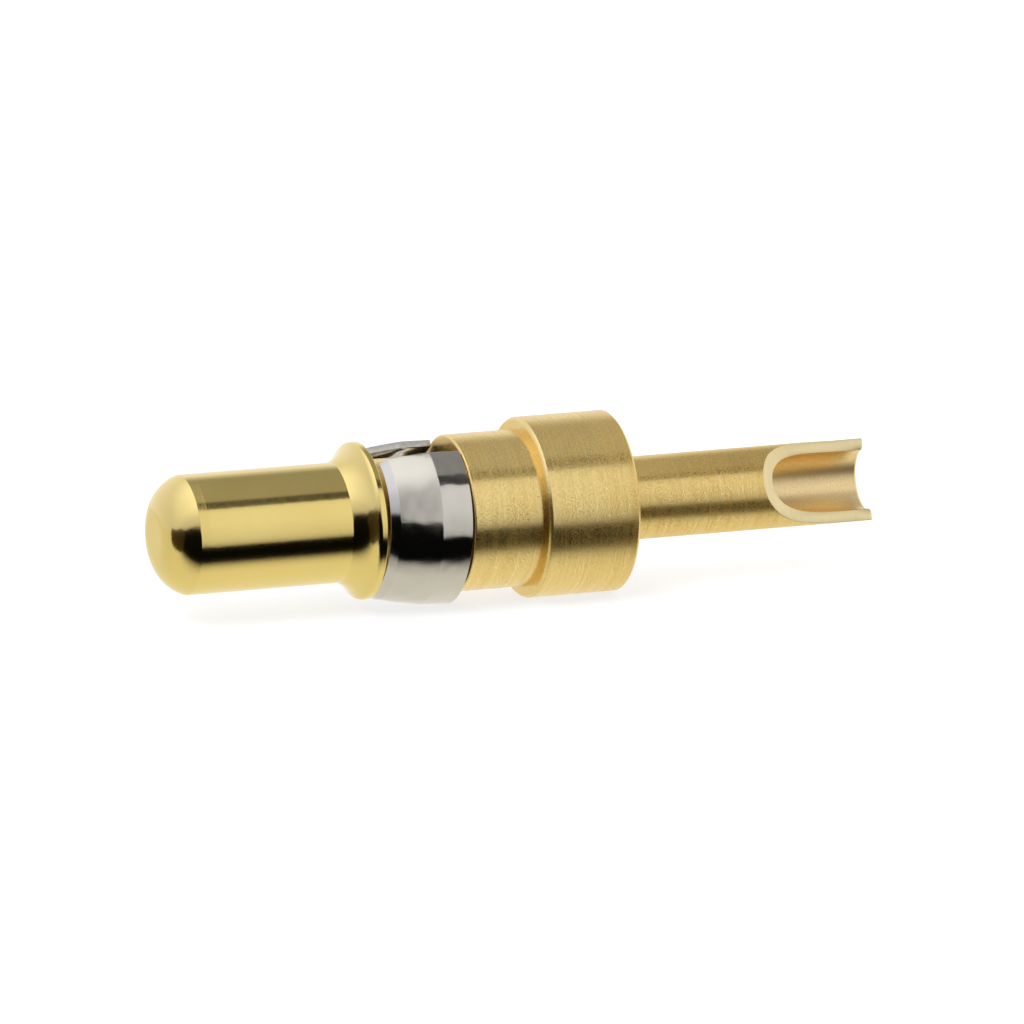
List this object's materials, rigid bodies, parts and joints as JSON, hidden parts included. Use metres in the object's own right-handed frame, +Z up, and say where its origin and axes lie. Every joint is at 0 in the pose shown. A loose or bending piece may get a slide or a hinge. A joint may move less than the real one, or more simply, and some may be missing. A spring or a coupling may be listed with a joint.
{
  "type": "solder cup pin contact",
  "caption": "Turned, gold-plated male power contact with a solder cup tail, a locating collar and a loose split retention clip in its groove.",
  "frame": {"origin": "under the middle of the contact's length, on the surface that the collar lies on", "axes": "+X along the contact's axis from the pin to the solder cup, +Z up; the solder cup opens towards -Y and 21.5 degrees up, and the clip's gap is on top"},
  "size_m": [0.0228, 0.0054, 0.0054],
  "materials": {
    "gold_plated_brass": "gold plated over turned brass, polished on the pin and flange, satin behind them",
    "nickel_plated_spring_steel": "bright nickel over rolled spring strip"
  },
  "bodies": {
    "contact": {"contact_body": "gold_plated_brass"},
    "clip": {"retention_clip": "nickel_plated_spring_steel"}
  },
  "joints": [
    {"name": "clip_spin", "type": "hinge", "parent": "contact", "child": "clip", "pos_m": [-0.00348, 0, 0.00271], "axis": [1, 0, 0], "continuous": true}
  ]
}
